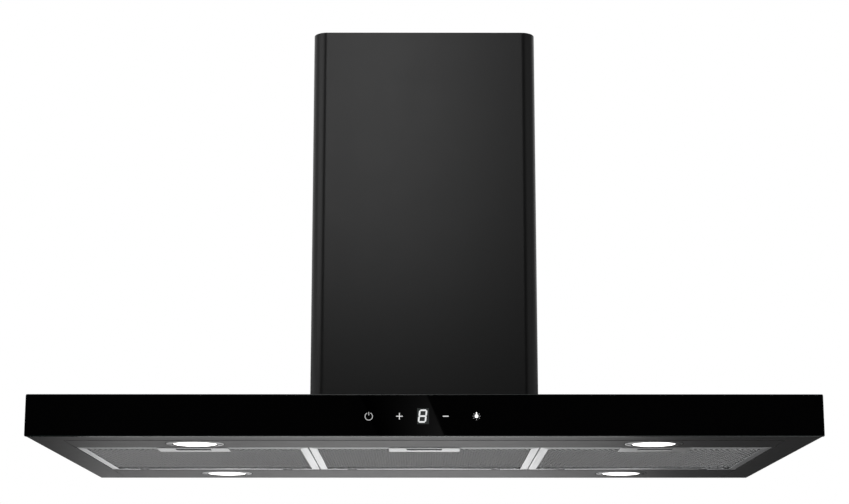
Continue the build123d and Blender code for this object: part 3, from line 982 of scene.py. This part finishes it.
BEZEL = [
    (25.5, 0.6), (26.55, -0.92), (26.75, -0.985), (27.1, -0.995), (30.2, -0.56), (30.4, -0.53),
    (32.0, -0.29), (33.3, -0.10), (33.8, -0.03), (34.0, 0.0), (30.8, 0.0), (30.8, 12.0),
    (29.6, 12.0), (29.6, 0.6),
]
# the bore wall, the first segment, takes the painted-shade finish
BEZEL_MAT = [1] + [0] * 13
NOTCH_FLOOR = {1: -0.05, 2: -0.05, 3: -0.05, 4: -0.05}
SPIN = sorted(
    set(
        [round(i * 360 / 108, 4) for i in range(108) if abs((i * 360 / 108 + 90) % 180 - 90) > 5.4]
        + [c + d for c in (0, 180) for d in (-5.35, -5.0, 0.0, 5.0, 5.35)]
    )
)
SPIN = sorted(a % 360 for a in SPIN)
for name, x, y in LAMPS:
    b = Build()
    turned(b, x, y, BEZEL, BEZEL_MAT, SPIN, (0, 180))
    o = b.make(f"bezel_{name}", [mats["satin_chrome"], mats["bore_painted_shade"]], slot="satin_chrome")
    tidy(o)
    sharpen(o)
    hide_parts(f"lamp_bezel_{name}")

    # thin black rubber seal under the rim: a real part, also placed so its dark ring gives the shadow gap round
    # the bezel, so it is partly painted shade
    b = Build()
    b.spin([(33.6, 0.0), (33.6, -0.06), (34.75, -0.16), (34.95, -0.08), (34.95, 0.0)], x, y, 96)
    o = b.make(f"lamp_seal_painted_shade_{name}", [mats["rubber_black"]], slot="rubber_black")
    tidy(o)
    sharpen(o)

    b = Build()
    prof = [
        (0.0005, -0.36), (12.0, -0.35), (20.0, -0.33), (24.6, -0.28), (25.15, -0.1),
        (25.3, 0.62), (29.5, 0.7), (29.5, 2.6), (0.0005, 2.6),
    ]
    b.spin(prof, x, y, 96)
    o = b.make(f"lens_{name}", [mats["lamp_diffuser"]], slot="lamp_diffuser")
    tidy(o)
    sharpen(o)
    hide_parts(f"lamp_lens_{name}")

# ---------------------------------------------------------------------------
# camera
# ---------------------------------------------------------------------------
EYE = (-0.0034874, -2.5193667, -0.2387328)
cam_data = bpy.data.cameras.new("camera")
cam = bpy.data.objects.new("camera", cam_data)
scene.collection.objects.link(cam)
cam.location = EYE
cam.rotation_euler = (math.pi / 2 + 0.1957, 0.0, -0.0017)
cam_data.sensor_width = 36.0
cam_data.lens = 76.53
cam_data.shift_y = 0.05
cam_data.clip_start = 0.05
cam_data.clip_end = 200.0
scene.camera = cam

# ---------------------------------------------------------------------------
# floor and lights
# ---------------------------------------------------------------------------
m, nt, p = begin("floor_pale")
vec = coords(nt)
nt.links.new(
    ramp(nt, noise(nt, vec, 0.6, 3.0), [(0.3, grey(0.84)), (0.7, grey(0.87))]),
    p.inputs["Base Color"],
)
p.inputs["Roughness"].default_value = 0.7
p.inputs["Emission Color"].default_value = (1.0, 1.0, 1.0, 1.0)
p.inputs["Emission Strength"].default_value = 0.90
me = bpy.data.meshes.new("floor")
S = 60.0
me.from_pydata([(-S, -S, -2.6), (S, -S, -2.6), (S, S, -2.6), (-S, S, -2.6)], [], [(0, 1, 2, 3)])
me.materials.append(m)
floor = bpy.data.objects.new("floor", me)
scene.collection.objects.link(floor)
floor.visible_glossy = False
floor.visible_diffuse = False


# a faint card in front, seen only as the slanted reflection in the glass
def reflection_card():
    eye = (EYE[0] / MM, EYE[2] / MM)
    reach = -EYE[1] / MM - 500.0
    ratio = (reach - 500.0 + 3500.0) / reach
    m, nt, p = begin("card_glow")
    nt.nodes.remove(p)
    em = nt.nodes.new("ShaderNodeEmission")
    at = nt.nodes.new("ShaderNodeAttribute")
    at.attribute_name = "glow"
    nt.links.new(at.outputs["Color"], em.inputs["Color"])
    nt.links.new(em.outputs["Emission"], nt.nodes["Material Output"].inputs["Surface"])
    cols, rows = 24, 12
    verts, tone = [], []
    for j in range(rows + 1):
        v = j / rows
        z = -3.0 + 52.0 * v
        x_edge = 21.9 + (2.2 - 21.9) * (z / 47.0)
        for i in range(cols + 1):
            u = i / cols
            x = x_edge - 75.0 * (1 - u)
            verts.append(
                (
                    eye[0] + (x - eye[0]) * ratio,
                    -3500.0,
                    eye[1] + (z - eye[1]) * ratio,
                )
            )
            strong = 0.19 + (0.085 - 0.19) * min(max(z / 47.0, 0.0), 1.0)
            tone.append(max(strong * (u ** 1.7), 0.0))
    faces = []
    for j in range(rows):
        for i in range(cols):
            a = j * (cols + 1) + i
            faces.append((a, a + 1, a + cols + 2, a + cols + 1))
    me = bpy.data.meshes.new("reflection_card")
    me.from_pydata([(x * MM, y * MM, z * MM) for x, y, z in verts], [], faces)
    attr = me.color_attributes.new("glow", "FLOAT_COLOR", "POINT")
    for i, t in enumerate(tone):
        attr.data[i].color = (t, t, t, 1.0)
    me.materials.append(m)
    o = bpy.data.objects.new("reflection_card", me)
    scene.collection.objects.link(o)
    o.visible_camera = False
    o.visible_diffuse = False
    o.visible_shadow = False
    o.visible_transmission = False


reflection_card()


def softbox(name, at, target, size, radiance, tint=(1.0, 1.0, 1.0), glossy=True, diffuse=True, spread=180.0):
    d = bpy.data.lights.new(name, "AREA")
    d.shape = "RECTANGLE"
    d.size, d.size_y = size
    d.energy = radiance * math.pi * size[0] * size[1]
    d.color = tint
    d.spread = math.radians(spread)
    o = bpy.data.objects.new(name, d)
    scene.collection.objects.link(o)
    o.location = at
    o.rotation_euler = (Vector(target) - Vector(at)).to_track_quat("-Z", "Y").to_euler()
    o.visible_camera = False
    o.visible_glossy = glossy
    o.visible_diffuse = diffuse
    return o


# broad glow behind and below, which the underside catches at a grazing angle;
# brightest a little right of the middle
for name, x0, x1, radiance in (
    ("glow_far_left", -2.00, -0.95, 0.01),
    ("glow_left", -0.95, -0.42, 1.05),
    ("glow_middle", -0.42, 0.32, 1.36),
    ("glow_right", 0.32, 0.585, 0.98),
    ("glow_far_right", 0.585, 2.00, 0.05),
):
    softbox(name, ((x0 + x1) / 2, 2.5, -0.62), ((x0 + x1) / 2, 0.0, -0.62), (x1 - x0, 1.15), radiance)
# tall soft light in front, above left, for the chimney
softbox("key_front", (-0.17, -3.2, 1.60), (-0.1, -0.2, 0.35), (0.40, 1.5), 4.0)
# front corners and sides
softbox("corner_left", (-2.5, -2.1, 1.35), (-0.14, -0.25, 0.3), (2.3, 1.5), 1.15)
softbox("corner_right", (2.5, -2.1, 1.0), (0.14, -0.25, 0.3), (2.3, 1.8), 0.34)
softbox("side_left", (-2.6, 0.1, 0.9), (0.0, -0.2, 0.3), (2.2, 1.8), 0.38)
softbox("side_right", (2.6, 0.1, 0.9), (0.0, -0.2, 0.3), (2.2, 1.8), 0.22)
softbox("level_right", (3.2, -0.2, -0.15), (0.0, -0.2, 0.1), (1.8, 0.8), 0.9)
softbox("level_left", (-3.2, -0.2, -0.15), (0.0, -0.2, 0.1), (1.8, 0.8), 0.8)
# behind and above, for the top of the canopy; and low at the front corners
softbox("back_left", (-2.4, 2.4, 1.7), (0.0, -0.2, 0.2), (2.6, 2.0), 0.7)
softbox("back_right", (2.4, 2.4, 1.7), (0.0, -0.2, 0.2), (2.6, 2.0), 0.8)
softbox("low_left", (-2.3, -2.6, -1.3), (0.0, -0.2, 0.3), (2.4, 1.6), 1.0)
softbox("low_right", (2.3, -2.6, -1.3), (0.0, -0.2, 0.3), (2.4, 1.6), 0.5)
# overhead and from below
softbox("top", (0.0, -0.4, 3.0), (0.0, -0.2, 0.3), (2.6, 2.6), 1.0)
softbox("below", (0.5, -0.9, -2.2), (0.1, -0.25, 0.0), (2.4, 1.8), 2.1)

world = bpy.data.worlds.new("studio")
scene.world = world
world.use_nodes = True
nt = world.node_tree
nt.nodes.clear()
out = nt.nodes.new("ShaderNodeOutputWorld")
mix = nt.nodes.new("ShaderNodeMixShader")
lp = nt.nodes.new("ShaderNodeLightPath")
dark = nt.nodes.new("ShaderNodeBackground")
white = nt.nodes.new("ShaderNodeBackground")
dark.inputs["Color"].default_value = (1.0, 1.0, 1.0, 1.0)
dark.inputs["Strength"].default_value = 0.012
white.inputs["Color"].default_value = (1.0, 1.0, 1.0, 1.0)
white.inputs["Strength"].default_value = 1.0
nt.links.new(lp.outputs["Is Camera Ray"], mix.inputs["Fac"])
nt.links.new(dark.outputs["Background"], mix.inputs[1])
nt.links.new(white.outputs["Background"], mix.inputs[2])
nt.links.new(mix.outputs["Shader"], out.inputs["Surface"])

scene.view_settings.view_transform = "Standard"
scene.view_settings.look = "None"

# ---------------------------------------------------------------------------
# final view layer update
# ---------------------------------------------------------------------------
bpy.context.view_layer.update()
